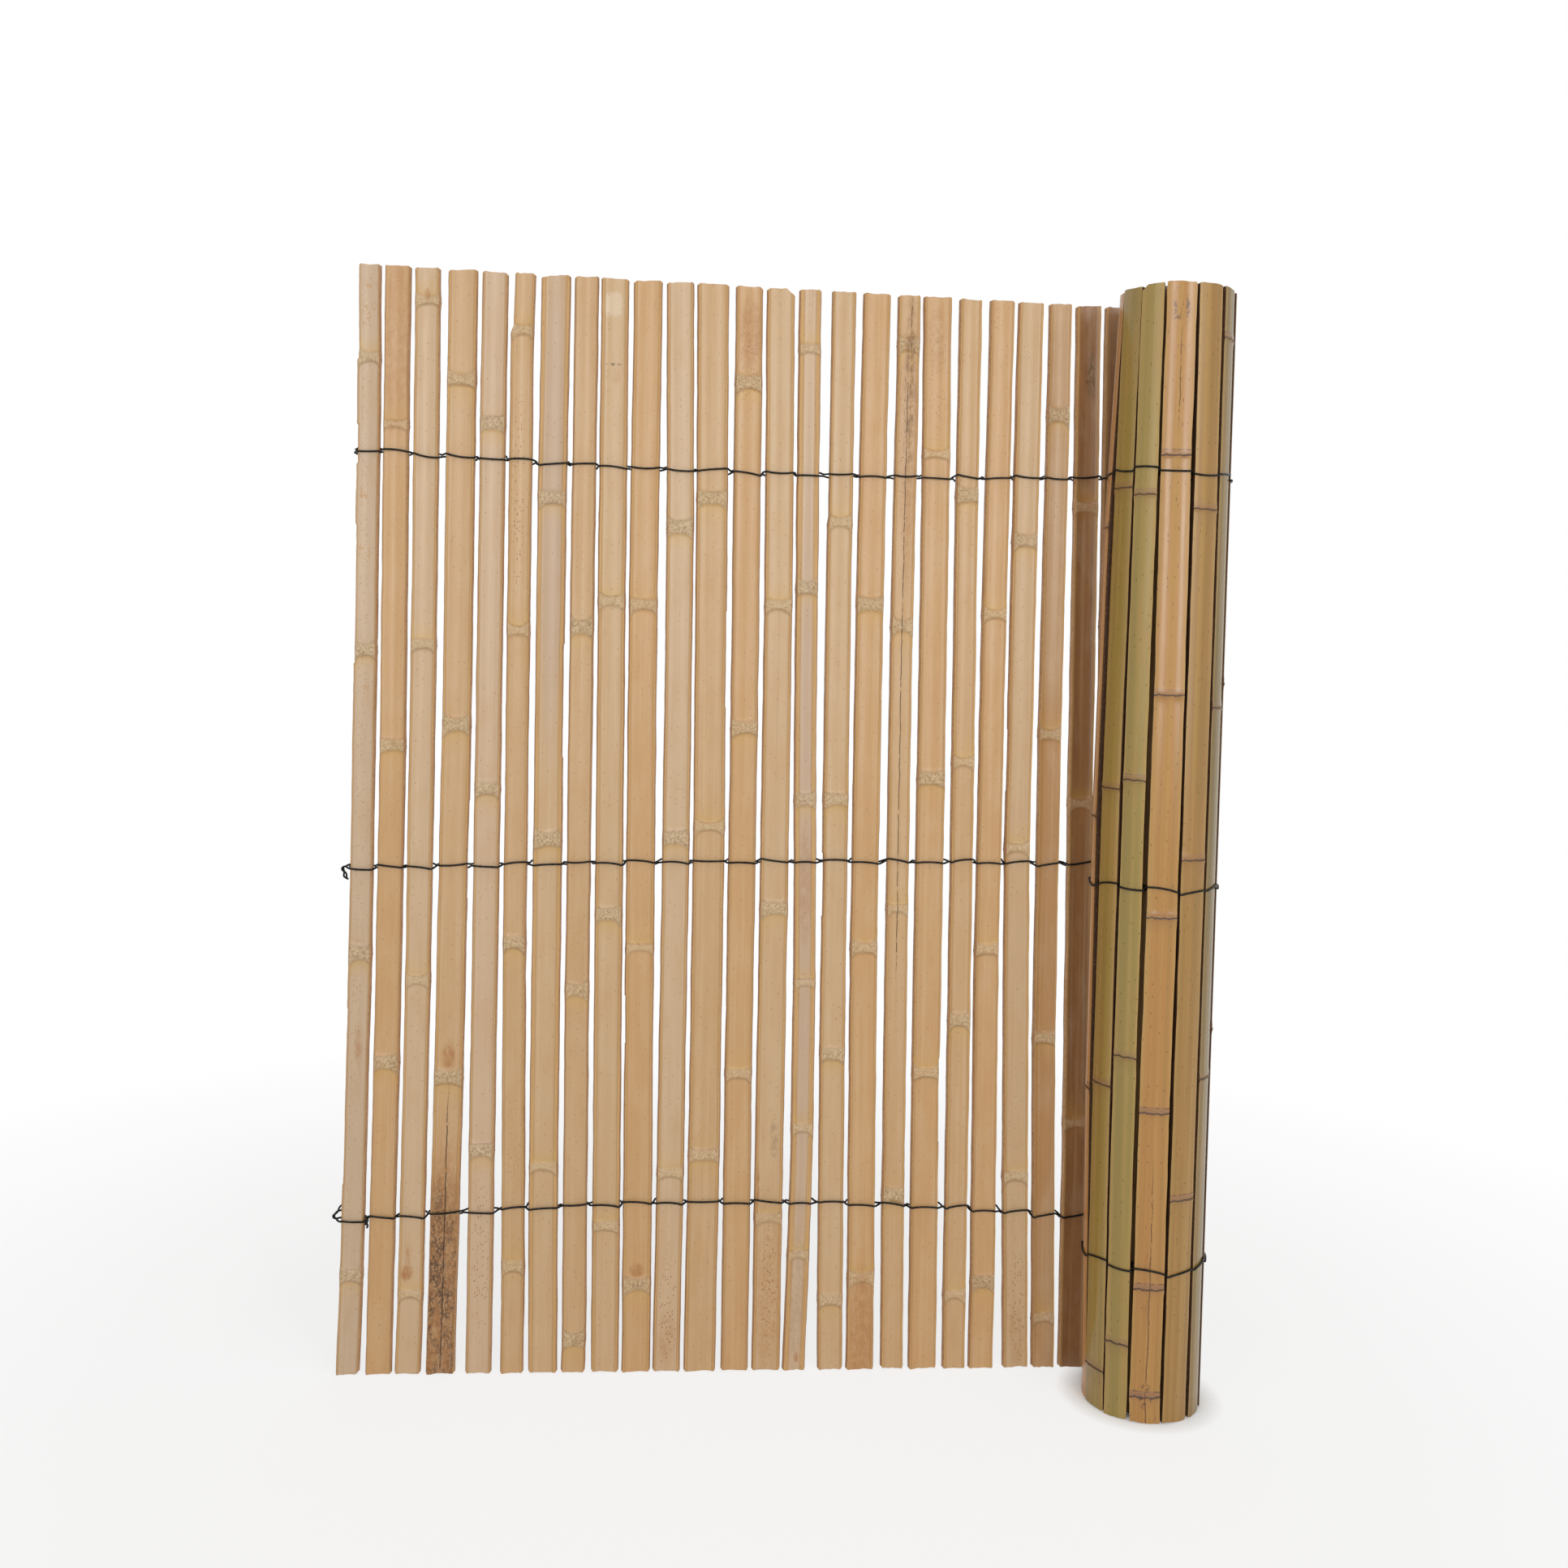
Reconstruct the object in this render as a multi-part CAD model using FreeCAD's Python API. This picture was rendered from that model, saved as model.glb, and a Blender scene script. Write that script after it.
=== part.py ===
import FreeCAD, Part
import math
import os

from FreeCAD import Vector

# Split-bamboo fence mat, partly unrolled: a flat run of slats and a roll of the rest,
# laced together by three lines of two wire strands. Millimetres, +Z up, +Y behind the mat.

# Driving dimensions: slats.
SLAT_LENGTH = 1000.0
SLAT_WIDTH = 24.0
SLAT_WALL = 5.0
SLATS_PER_CULM = 12
NODE_HEIGHT = 12.0
NODE_RIDGE = 0.8
NODE_STUB = 2.0
NODE_APART = 1.0

# Driving dimensions: spaces between slats. The smallest gap still lets a wire through.
SMALLEST_GAP = 2.7
HEAD_LEAN = 14.0

# Driving dimensions: wire. Each strand is a three-sided bar of this side.
WIRE_SIDE = 1.9
WIRE_CLEARANCE = 0.2
TOP_WIRE_BELOW_HEAD = 167.0
MIDDLE_WIRE_HEIGHT = 457.0
BOTTOM_WIRE_HEIGHT = 140.0
WIRE_DROP_IN_ROLL = 9.0
SLATS_IN_DROP = 6
CROSSING_SLANT = 0.8

# Driving dimensions: roll.
ROLL_RADIUS = 60.0
ROLL_START_TURN = 6.0
LAYER_GAP = 8.0

# Flat slats from left to right. Each row: percent over or under the usual width, gap to the
# slat before it over the smallest gap, in smallest gaps, at the foot and at the head, and the
# bamboo nodes as shares of the slat's length from the foot.
FLAT_SLATS = [
    (-12, 0.0, 0.0, (0.090, 0.380, 0.653, 0.916)),
    (-2, 0.6, 0.0, (0.282, 0.568, 0.857)),
    (-4, 0.3, 0.0, (0.073, 0.356, 0.660, 0.970)),
    (10, 0.4, 1.7, (0.269, 0.588, 0.900)),
    (-2, 2.2, 0.3, (0.203, 0.531, 0.862)),
    (-12, 2.2, 0.3, (0.097, 0.392, 0.675, 0.948)),
    (10, 0.0, 1.0, (0.188, 0.486, 0.797)),
    (-8, 0.4, 0.1, (0.030, 0.349, 0.680)),
    (6, 0.7, 0.0, (0.134, 0.419, 0.705)),
    (10, 0.0, 0.5, (0.080, 0.389, 0.703)),
    (4, 0.0, 0.6, (0.182, 0.490, 0.775)),
    (21, 0.1, 0.1, (0.199, 0.501, 0.803)),
    (6, 0.9, 1.2, (0.274, 0.593, 0.911)),
    (10, 0.1, 0.0, (0.141, 0.427, 0.707)),
    (-12, 0.4, 0.4, (0.107, 0.224, 0.359, 0.528, 0.724, 0.945)),
    (0, 2.7, 2.0, (0.065, 0.293, 0.529, 0.786)),
    (8, 0.0, 1.6, (0.085, 0.392, 0.711)),
    (-10, 1.3, 1.4, (0.160, 0.429, 0.692, 0.954)),
    (12, 0.8, 0.0, (0.276, 0.551, 0.853)),
    (-8, 0.9, 1.8, (0.069, 0.326, 0.567, 0.816)),
    (0, 0.3, 1.6, (0.081, 0.392, 0.706)),
    (4, 1.9, 0.0, (0.180, 0.488, 0.776)),
    (-6, 0.1, 0.8, (0.047, 0.310, 0.595, 0.895)),
    (2, 0.3, 0.3, (0.230, 0.531, 0.810)),
    (-8, 0.0, 1.5, (0.095, 0.395, 0.700)),
]

# Rolled slats from the flat part inwards. Each row: percent over or under the usual width and
# the nodes on the skin. Slats of the inner turn are out of sight and have no nodes.
ROLLED_SLATS = [
    (-10, (0.150, 0.440, 0.730)),
    (-8, (0.260, 0.560, 0.850)),
    (-8, (0.080, 0.390, 0.690)),
    (-8, (0.210, 0.520, 0.800)),
    (-6, (0.340, 0.650)),
    (-4, (0.300, 0.628, 0.955)),
    (6, (0.196, 0.494, 0.802)),
    (8, (0.024, 0.118, 0.272, 0.443, 0.638, 0.848)),
    (-14, (0.066, 0.318, 0.562, 0.814)),
    (0, (0.036, 0.289, 0.553, 0.827)),
    (-8, (0.280, 0.526, 0.787)),
    (-8, ()),
    (-8, ()),
    (-8, ()),
    (-8, ()),
    (-8, ()),
    (-12, ()),
    (-12, ()),
    (-12, ()),
    (-12, ()),
    (-12, ()),
    (-12, ()),
]

# Each wire line: name, height at the first slat, and its rise along the flat part and arch at
# its middle as shares of the slat's length.
WIRE_LINES = [
    ("top_wire", SLAT_LENGTH - TOP_WIRE_BELOW_HEAD, 0.006, -0.008),
    ("middle_wire", MIDDLE_WIRE_HEIGHT, 0.018, 0.004),
    ("bottom_wire", BOTTOM_WIRE_HEIGHT, 0.001, 0.016),
]

HALF_SECTOR = math.pi / SLATS_PER_CULM
RUN_OFFSET = WIRE_SIDE / 2 + WIRE_CLEARANCE
WIRE_RISE = WIRE_SIDE * math.sin(math.pi / 3)
STRAND_OFFSET = (WIRE_RISE + WIRE_CLEARANCE) / 2
FLAT_COUNT = len(FLAT_SLATS)
ORIGIN = Vector(0, 0, 0)
UP = Vector(0, 0, 1)


def wire_height(line, index):
    """Height of a wire line where it crosses the slat with this number."""
    name, base, rise, arch = line
    along = min(index / (FLAT_COUNT - 1), 1.0)
    into_roll = min(max(index - FLAT_COUNT + 1, 0) / SLATS_IN_DROP, 1.0)
    wave = (rise * along + arch * math.sin(math.pi * along)) * SLAT_LENGTH
    return base + wave - WIRE_DROP_IN_ROLL * into_roll


def node_heights(shares, index):
    """Node heights of a slat, moved clear of the wires and kept inside the slat."""
    half = NODE_HEIGHT / 2
    heights = []
    for share in shares:
        height = share * SLAT_LENGTH
        for line in WIRE_LINES:
            away = height - wire_height(line, index)
            reach = half + STRAND_OFFSET + WIRE_SIDE
            if abs(away) < reach:
                height += math.copysign(reach, away) - away
        free_below = heights[-1] + NODE_HEIGHT if heights else half
        if free_below + NODE_APART < height < SLAT_LENGTH - half - NODE_APART:
            heights.append(height)
    return heights


class Slat:
    """One slat: its section, its place in plan and its solid."""

    def __init__(self, index, over_width, shares):
        self.index = index
        self.width = SLAT_WIDTH * (1 + over_width / 100)
        self.radius = self.width / 2 / math.sin(HALF_SECTOR)
        self.bore = self.radius - SLAT_WALL
        self.edge_depth = self.radius * (1 - math.cos(HALF_SECTOR))
        self.depth = self.radius - self.bore * math.cos(HALF_SECTOR)
        self.nodes = node_heights(shares, index)
        self.turn = 0.0
        self.y = 0.0

    def place_flat(self, foot_x, head_x):
        self.foot_x = foot_x
        self.head_x = head_x

    def place_rolled(self, centre_x, turn, radius):
        self.turn = turn
        self.foot_x = self.head_x = centre_x + radius * math.sin(turn)
        self.y = radius * math.cos(turn) - ROLL_RADIUS

    def outward(self):
        return Vector(math.sin(self.turn), math.cos(self.turn), 0)

    def along(self):
        return Vector(math.cos(self.turn), -math.sin(self.turn), 0)

    def skin_point(self, height):
        """Middle of the skin at a height, in plan."""
        share = height / SLAT_LENGTH
        return Vector(self.foot_x + (self.head_x - self.foot_x) * share, self.y, 0)

    def edge_point(self, height, side):
        """Outer corner of a cut edge at a height, in plan; side is -1 or 1."""
        across = self.along() * (side * self.width / 2)
        return self.skin_point(height) + across - self.outward() * self.edge_depth

    def half_turn(self, radius):
        """Angle on the roll from the slat's middle to the middle of the gap beside it."""
        outer = (self.width / 2, radius - self.edge_depth)
        inner = (self.bore * math.sin(HALF_SECTOR), radius - self.depth)
        angles = []
        for across, out in (outer, inner):
            gap_angle = math.asin(SMALLEST_GAP / 2 / math.hypot(across, out))
            angles.append(math.atan2(across, out) + gap_angle)
        return max(angles)

    def solid(self, stubs):
        """Turned from the wall's profile: node ridges on the skin, node stubs on the inner face."""
        half = NODE_HEIGHT / 2
        skin = [(self.radius, 0.0)]
        inside = [(self.bore, 0.0)]
        swells = [(skin, self.radius, NODE_RIDGE)]
        if stubs:
            swells.append((inside, self.bore, -NODE_STUB))
        for height in self.nodes:
            for wall, surface, swell in swells:
                wall += [(surface, height - half), (surface + swell, height), (surface, height + half)]
        skin.append((self.radius, SLAT_LENGTH))
        inside.append((self.bore, SLAT_LENGTH))
        outline = [Vector(r, 0, z) for r, z in skin + inside[::-1]]
        profile = Part.Face(Part.makePolygon(outline + outline[:1]))
        profile.rotate(ORIGIN, UP, -math.degrees(HALF_SECTOR))
        shape = profile.revolve(ORIGIN, UP, 2 * math.degrees(HALF_SECTOR))
        shape.translate(Vector(-self.radius, 0, 0))
        shape.rotate(ORIGIN, UP, 90 - math.degrees(self.turn))
        lean = math.asin((self.head_x - self.foot_x) / SLAT_LENGTH)
        shape.rotate(ORIGIN, Vector(0, 1, 0), math.degrees(lean))
        lift = self.width / 2 * abs(math.sin(lean))
        shape.translate(Vector(self.foot_x, self.y, lift))
        return shape


def flat_slats():
    """Slats of the flat part, each set beside the one before it at foot and head."""
    slats = []
    for index, (over_width, foot_gap, head_gap, shares) in enumerate(FLAT_SLATS):
        slat = Slat(index, over_width, shares)
        if slats:
            before = slats[-1]
            step = (before.width + slat.width) / 2 + SMALLEST_GAP
            foot_x = before.foot_x + step + foot_gap * SMALLEST_GAP
            head_x = before.head_x + step + head_gap * SMALLEST_GAP
            slat.place_flat(foot_x, head_x)
        else:
            slat.place_flat(HEAD_LEAN / 2, -HEAD_LEAN / 2)
        slats.append(slat)
    return slats


def rolled_slats(last):
    """Slats of the roll, on a spiral that starts in line with the flat part and turns to the front."""
    slats = []
    deepest = max(Slat(0, row[0], ()).depth for row in FLAT_SLATS + ROLLED_SLATS)
    per_radian = (deepest + LAYER_GAP) / (2 * math.pi)
    turn = math.radians(ROLL_START_TURN)
    for number, (over_width, shares) in enumerate(ROLLED_SLATS):
        slat = Slat(FLAT_COUNT + number, over_width, shares)
        if slats:
            radius = ROLL_RADIUS - per_radian * turn
            turn += slats[-1].half_turn(radius) + slat.half_turn(radius)
        else:
            end = max(last.foot_x, last.head_x)
            first_x = end + (last.width + slat.width) / 2 + SMALLEST_GAP
            centre_x = first_x - ROLL_RADIUS * math.sin(turn)
        slat.place_rolled(centre_x, turn, ROLL_RADIUS - per_radian * turn)
        slats.append(slat)
    return slats


def crossing(point_a, direction_a, point_b, direction_b):
    """Where two lines in plan meet."""
    apart = point_b - point_a
    scale = direction_a.x * direction_b.y - direction_a.y * direction_b.x
    distance = (apart.x * direction_b.y - apart.y * direction_b.x) / scale
    return point_a + direction_a * distance


def strand_path(slats, line, first_side):
    """Path of one strand: behind one slat, in front of the next, slanting through each gap."""
    points = []
    shift = Vector(0, 0, STRAND_OFFSET * first_side)
    side = first_side
    end_step = SMALLEST_GAP / 2
    for index, slat in enumerate(slats):
        height = wire_height(line, index)
        away = slat.outward()
        run_point = slat.skin_point(height)
        run_point += away * (RUN_OFFSET if side > 0 else -slat.depth - RUN_OFFSET)
        for edge in (-1, 1):
            corner = slat.edge_point(height, edge)
            other = index + edge
            level = Vector(0, 0, height) + shift
            if 0 <= other < len(slats):
                neighbour = slats[other]
                level.z += (wire_height(line, other) - height) / 2
                middle = (corner + neighbour.edge_point(height, -edge)) * 0.5
                facing = (away + neighbour.outward()).normalize()
                opening = max(HALF_SECTOR - away.getAngle(facing), 0)
            else:
                middle = corner + slat.along() * (edge * end_step)
                facing = away
                opening = HALF_SECTOR
            across = Vector(facing.y, -facing.x, 0)
            slant = across * (CROSSING_SLANT * math.tan(opening)) - facing * (side * edge)
            turn_point = crossing(run_point, slat.along(), middle, slant) + level
            if other < 0:
                points.append(middle + level)
            points.append(turn_point)
            if other == len(slats):
                points.append(middle + level)
        side = -side
    return points


def strand_solid(points):
    """Three-sided bar along a path, mitred at every bend."""
    low = Vector(0, 0, -WIRE_RISE / 3)
    high = Vector(0, 0, WIRE_RISE * 2 / 3)
    normals = []
    for start, end in zip(points, points[1:]):
        run = end - start
        normals.append(Vector(run.y, -run.x, 0).normalize())
    rings = []
    for number, point in enumerate(points):
        before = normals[max(number - 1, 0)]
        after = normals[min(number, len(normals) - 1)]
        mitre = (before + after) * (WIRE_SIDE / 2 / (1 + before.dot(after)))
        rings.append([point - mitre + low, point + mitre + low, point + high])
    faces = [rings[0][::-1], rings[-1]]
    for start, end in zip(rings, rings[1:]):
        for a, b in ((0, 1), (1, 2), (2, 0)):
            faces.append([start[a], start[b], end[b]])
            faces.append([start[a], end[b], end[a]])
    shell = Part.makeShell([Part.Face(Part.makePolygon(face + face[:1])) for face in faces])
    shell.sewShape()
    solid = Part.makeSolid(shell)
    if solid.Volume < 0:
        solid.reverse()
    return solid


def build():
    flat = flat_slats()
    rolled = rolled_slats(flat[-1])
    slats = flat + rolled
    pieces = {}
    for number, slat in enumerate(flat, 1):
        pieces["flat_slat_%02d" % number] = slat.solid(stubs=True)
    for number, slat in enumerate(rolled, 1):
        pieces["rolled_slat_%02d" % number] = slat.solid(stubs=False)
    for line in WIRE_LINES:
        for strand, first_side in (("a", -1), ("b", 1)):
            pieces[line[0] + "_" + strand] = strand_solid(strand_path(slats, line, first_side))
    box = Part.makeCompound(list(pieces.values())).optimalBoundingBox(False, False)
    to_origin = Vector(-(box.XMin + box.XMax) / 2, -(box.YMin + box.YMax) / 2, -box.ZMin)
    for shape in pieces.values():
        shape.translate(to_origin)
    return pieces


os.makedirs("parts", exist_ok=True)
for node, shape in build().items():
    shape.exportStep("parts/%s.step" % node)
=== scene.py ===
import math

import bpy
import numpy as np
from mathutils import Matrix, Vector


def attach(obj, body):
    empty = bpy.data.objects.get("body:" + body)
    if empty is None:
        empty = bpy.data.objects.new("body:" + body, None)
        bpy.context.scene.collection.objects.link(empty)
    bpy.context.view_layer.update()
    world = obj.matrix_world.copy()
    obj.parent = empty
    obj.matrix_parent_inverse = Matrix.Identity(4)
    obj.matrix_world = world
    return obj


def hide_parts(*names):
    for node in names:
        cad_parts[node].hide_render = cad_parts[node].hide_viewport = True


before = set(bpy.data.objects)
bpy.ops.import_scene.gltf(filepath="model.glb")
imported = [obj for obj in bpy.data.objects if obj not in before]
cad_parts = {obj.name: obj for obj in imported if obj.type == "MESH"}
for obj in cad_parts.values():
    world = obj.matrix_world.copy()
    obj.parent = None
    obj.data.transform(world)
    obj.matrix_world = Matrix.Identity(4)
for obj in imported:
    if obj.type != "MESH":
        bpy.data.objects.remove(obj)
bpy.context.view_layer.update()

# Split-bamboo fence mat, partly unrolled: fibrous slats with nodes, laced by twisted wire.
# Metres, in the frame of the solids; small sizes are written in millimetres.
MM = 0.001
SEED = 410

# Camera of the photograph, in the pixels of its square frame.
PHOTO_SIDE = 1932
FOCAL_PIXELS = 1847
HORIZON_PIXEL = 815
SENSOR_WIDTH = 36.0
CAMERA_FROM_FIRST_SLAT = Vector((0.2442, -1.383, 0.0))
CAMERA_HEIGHT = 0.6553
CAMERA_YAW = math.radians(5.47)
CAMERA_ROLL = math.radians(1.95)

# Mesh fineness of a slat that shows, and of one inside the roll.
SHOWN_COLUMNS = 18
SHOWN_ROW_STEP = 9 * MM
HIDDEN_COLUMNS = 8
HIDDEN_ROW_STEP = 40 * MM
NODE_REACH = 15 * MM
NODE_ROW_STEP = 1.1 * MM
LAST_SHOWN_ROLLED = 14

# A node's marks fade out between these distances.
NEAR_NODE = 20 * MM
NEAR_NODE_END = 30 * MM

# Reading a solid: depth of its end slices and least height of a node ridge.
END_SLICE = 2 * MM
RIDGE_LEAST = 0.4 * MM

# Mesh rows by the ends, and the least distance of other rows.
END_ROW = 0.8 * MM
FREE_OF_ROWS = 1.5 * MM
SHARP_ANGLE = math.radians(42)

# Each slat has its own random numbers and its own place in the grain.
ROLLED_SEED = 100
GRAIN_STEP = 3.7
ROLLED_GRAIN = 211

# How far hand-split bamboo strays from its straight solid.
KINK_AT_NODE = 0.7 * MM
EDGE_WAVE = 0.3 * MM
EDGE_SPLINTER = 0.14 * MM
END_RAGGED = 1.3 * MM
CORNER_WEAR = 1.3 * MM
BEVEL = 0.25 * MM
SHOULDER_RISE = 0.45 * MM
NODE_SWELL = 0.15 * MM
NODE_SWELL_REACH = 7 * MM
EDGE_WAVE_STEP = 30 * MM
SPLINTER_STEP = 5 * MM
END_KNOTS = 7
WORN_FROM = 0.86
END_ROWS_MOVED = 5
END_ROWS_APART = 0.25 * MM

# A node on the inner face: a rough band with rounded hollows above and below it; painted shade under it.
BAND_HALF = 4.6 * MM
BAND_ROUNDING = 5.5 * MM
BAND_TILT = 1.4 * MM
STUB_RISE = 1.3 * MM
BAND_RAGGED = 0.35 * MM
BAND_ROUGHNESS = 0.25 * MM
BAND_SOFT = 0.8 * MM
LIP_WIDTH = 0.9 * MM
SHADE_ARCH_WIDTH = 1.1 * MM
TINT_ABOVE = 8 * MM
TINT_BELOW = 9 * MM
# A node on the skin: height, place and half width of its ridge, lip and groove, in mm.
SKIN_NODE = [(0.5, 0.0, 4.5), (0.4, -1.6, 1.0), (-0.35, 0.4, 0.9)]

# Light: soft boxes by name, place, aim, width, height and power; level from all round; and where
# the floor turns white.
SOFT_BOXES = [
    ("left_box", (-1.9, -2.3, 1.3), (0.1, 0.0, 0.4), 0.9, 1.8, 8),
    ("right_box", (1.9, -2.2, 1.2), (0.1, 0.0, 0.4), 0.9, 1.8, 9),
    ("front_left_box", (-0.48, -2.68, 1.2), (0.1, 0.0, 0.4), 0.36, 1.5, 14),
    ("front_right_box", (1.06, -2.7, 1.2), (0.1, 0.0, 0.4), 0.36, 1.5, 15),
    ("back_box", (0.0, 2.2, 2.7), (0.0, 0.1, 0.4), 2.4, 0.9, 10),
    ("top_box", (0.0, -1.2, 3.2), (0.0, 0.1, 0.1), 2.4, 1.6, 12),
]
WORLD_LIGHT = 0.34
FLOOR_HALF = 9.0
FLOOR_WHITE_FROM = 0.5
FLOOR_WHITE_AT = 1.3
FLOOR_WHITE_NEAR = 0.76
ROLL_SHADE = 0.045
ROLL_SHADE_END = 0.075

# Wire.
WIRE_RADIUS = 0.9 * MM
LINE_SAG = 0.5 * MM
RUN_STEPS = 7
RUN_CLEARANCE = 0.1 * MM
FLAT_TILT = 1.8 * MM
FLAT_BOW = 1.1 * MM
ROLL_TILT = 2.0 * MM
ROLL_BOW = 1.3 * MM
TWIST_RADIUS = 0.95 * MM
TWIST_STEPS = 44
TWIST_PHASES = {"a": 0.0, "b": math.pi}
GAP_DEPTH = 0.55
# How far beside and before a slat a strand's solid is looked for.
SEEK_BESIDE = 6 * MM
SEEK_BEFORE = 4 * MM


def rgb(red, green, blue):
    """Linear colour of a display colour given from 0 to 255."""
    linear = []
    for value in (red, green, blue):
        share = value / 255
        linear.append(share / 12.92 if share <= 0.04045 else ((share + 0.055) / 1.055) ** 2.4)
    return (*linear, 1.0)


INNER_TONES = {
    "grey": rgb(198, 172, 143),
    "pale": rgb(203, 173, 138),
    "pink": rgb(203, 173, 141),
    "beige": rgb(201, 168, 128),
    "tan": rgb(199, 162, 118),
    "orange": rgb(200, 158, 110),
    # These three darken slats 23 to 25: partly painted shade for the shade the roll casts on them, partly
    # their own browner wood.
    "amber_in_roll_shade": rgb(184, 138, 88),
    "brown_in_roll_shade": rgb(147, 103, 66),
    "umber_in_roll_shade": rgb(142, 100, 68),
}
SKIN_TONES = {
    "olive": rgb(154, 130, 64),
    "moss": rgb(154, 133, 68),
    "straw": rgb(160, 119, 60),
    "tan": rgb(178, 128, 67),
    "orange": rgb(197, 139, 73),
    # A darker olive: painted shade on a skin turned away from the light.
    "olive_side_shade": rgb(118, 97, 40),
    "shaded": rgb(92, 66, 40),
}
# Colour of the split sides: their own on the flat slats; on the rolled slats near black, a painted shade
# for the deep gaps between them.
FLAT_EDGE = rgb(208, 166, 124)
ROLLED_EDGE_SHADE = rgb(70, 46, 28)

# Flat slats from the left: tones of inner face and skin, and the hollow's share of the width.
FLAT_LOOKS = [
    ("grey", "straw", 0.90), ("orange", "tan", 0.93), ("pale", "olive", 0.86), ("tan", "straw", 0.86),
    ("pink", "moss", 0.88), ("tan", "tan", 0.86), ("beige", "straw", 0.76), ("tan", "olive", 0.95),
    ("beige", "tan", 0.80), ("orange", "orange", 0.84), ("pale", "olive", 0.86), ("tan", "straw", 0.87),
    ("orange", "tan", 0.90), ("beige", "moss", 0.84), ("pink", "straw", 0.58), ("beige", "straw", 0.82),
    ("orange", "tan", 0.86), ("tan", "olive", 0.84), ("orange", "orange", 0.88), ("tan", "straw", 0.80),
    ("orange", "tan", 0.88), ("beige", "moss", 0.82), ("amber_in_roll_shade", "straw", 0.85), ("brown_in_roll_shade", "orange", 0.80),
    ("umber_in_roll_shade", "tan", 0.78),
]

# Rolled slats from the flat part inwards: tone of the skin; the sixth darker as painted shade. The rest, in
# the dark, get painted shade.
ROLLED_HOLLOW = 0.86
ROLLED_TONES = [
    "tan", "olive", "straw", "tan", "straw", "olive_side_shade", "straw", "tan", "moss", "olive", "orange", "straw",
]

# Marks on the inner faces, by kind: slat number, height as a share of the length, place across
# from -1 to 1, half height in mm, half width as a share, strength.
INNER_MARKS = {
    "stain": [
        (1, 0.295, 0.15, 18, 0.4, 0.55), (2, 0.93, 0.0, 90, 1.4, 0.4), (3, 0.092, -0.35, 8, 0.55, 1.0),
        (3, 0.105, -0.3, 14, 0.25, 0.5), (3, 0.975, 0.0, 7, 0.3, 0.8), (4, 0.288, 0.0, 14, 0.55, 0.85),
        (4, 0.05, 0.0, 170, 3.0, 0.9), (9, 0.910, 0.15, 8, 0.35, 0.3), (10, 0.093, 0.0, 7, 0.6, 0.8),
        (11, 0.03, 0.0, 30, 0.8, 0.35), (13, 0.955, 0.1, 40, 1.0, 0.6), (14, 0.17, -0.85, 28, 0.12, 1.0),
        (14, 0.08, 0.0, 110, 1.4, 0.25), (15, 0.012, 0.2, 5, 0.3, 1.0), (15, 0.45, 0.0, 60, 0.8, 0.4),
        (17, 0.03, 0.1, 75, 1.1, 0.65), (18, 0.87, 0.2, 150, 1.0, 0.45), (19, 0.96, 0.0, 35, 0.9, 0.35),
        (22, 0.03, 0.1, 35, 0.7, 0.3), (24, 0.810, 0.0, 16, 1.2, 0.6), (24, 0.531, 0.0, 16, 1.2, 0.5),
        (24, 0.230, 0.0, 16, 1.2, 0.5), (24, 0.50, 0.1, 420, 0.5, 0.35), (25, 0.50, 0.3, 480, 0.7, 0.4),
    ],
    "rust": [
        (1, 0.980, 0.0, 10, 0.5, 0.8), (1, 0.955, -0.3, 14, 0.5, 0.9), (1, 0.962, 0.45, 5, 0.3, 0.9),
        (1, 0.793, -0.35, 8, 0.45, 0.9), (1, 0.741, -0.2, 9, 0.9, 0.8), (1, 0.620, 0.1, 12, 0.6, 0.6),
        (1, 0.345, -0.2, 9, 0.5, 0.7), (4, 0.900, 0.6, 12, 0.5, 0.5), (10, 0.640, -0.3, 10, 0.5, 0.6),
        (14, 0.06, 0.15, 65, 0.85, 0.8), (16, 0.330, 0.3, 12, 0.6, 0.6),
    ],
    "mould": [(4, 0.06, -0.3, 130, 1.3, 1.0), (4, 0.06, 0.6, 120, 0.9, 0.75)],
    "fleck": [
        (1, 0.55, -0.3, 420, 0.5, 0.5), (5, 0.11, 0.0, 80, 0.9, 0.9), (6, 0.80, -0.2, 110, 0.7, 1.0),
        (6, 0.20, 0.0, 60, 0.8, 0.4), (11, 0.05, 0.0, 60, 0.9, 1.0), (13, 0.93, 0.0, 55, 0.9, 0.8),
        (14, 0.08, 0.1, 60, 0.8, 1.0), (18, 0.86, 0.0, 120, 0.9, 0.8), (19, 0.93, 0.0, 70, 0.9, 0.6),
        (21, 0.98, -0.4, 14, 0.5, 0.8), (22, 0.06, 0.1, 62, 0.9, 1.0),
    ],
    "smudge": [
        (9, 0.921, -0.15, 1.3, 0.75, 0.9), (10, 0.080, 0.1, 4, 0.5, 0.6), (14, 0.215, 0.35, 22, 0.35, 0.35),
        (15, 0.07, 0.0, 70, 0.9, 0.2), (18, 0.91, 0.2, 90, 0.6, 0.55), (21, 0.081, 0.1, 7, 0.9, 0.25),
        (24, 0.935, 0.2, 24, 0.5, 0.9),
    ],
    # On slat 9 the pale marks are a painted sheen on the glossy end of the hollow and a narrow painted
    # highlight at its left; on slat 23 they make the upper part and the foot lighter.
    "pale": [
        (9, 0.976, -0.1, 12, 0.75, 0.5), (9, 0.975, -0.6, 11, 0.2, 0.75), (23, 0.90, 0.0, 300, 2.0, 0.2),
        (23, 0.05, 0.0, 120, 2.0, 0.12),
    ],
    "grey": [(7, 0.80, 0.05, 260, 1.0, 0.5), (15, 0.45, 0.0, 470, 0.7, 0.4)],
}
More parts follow.
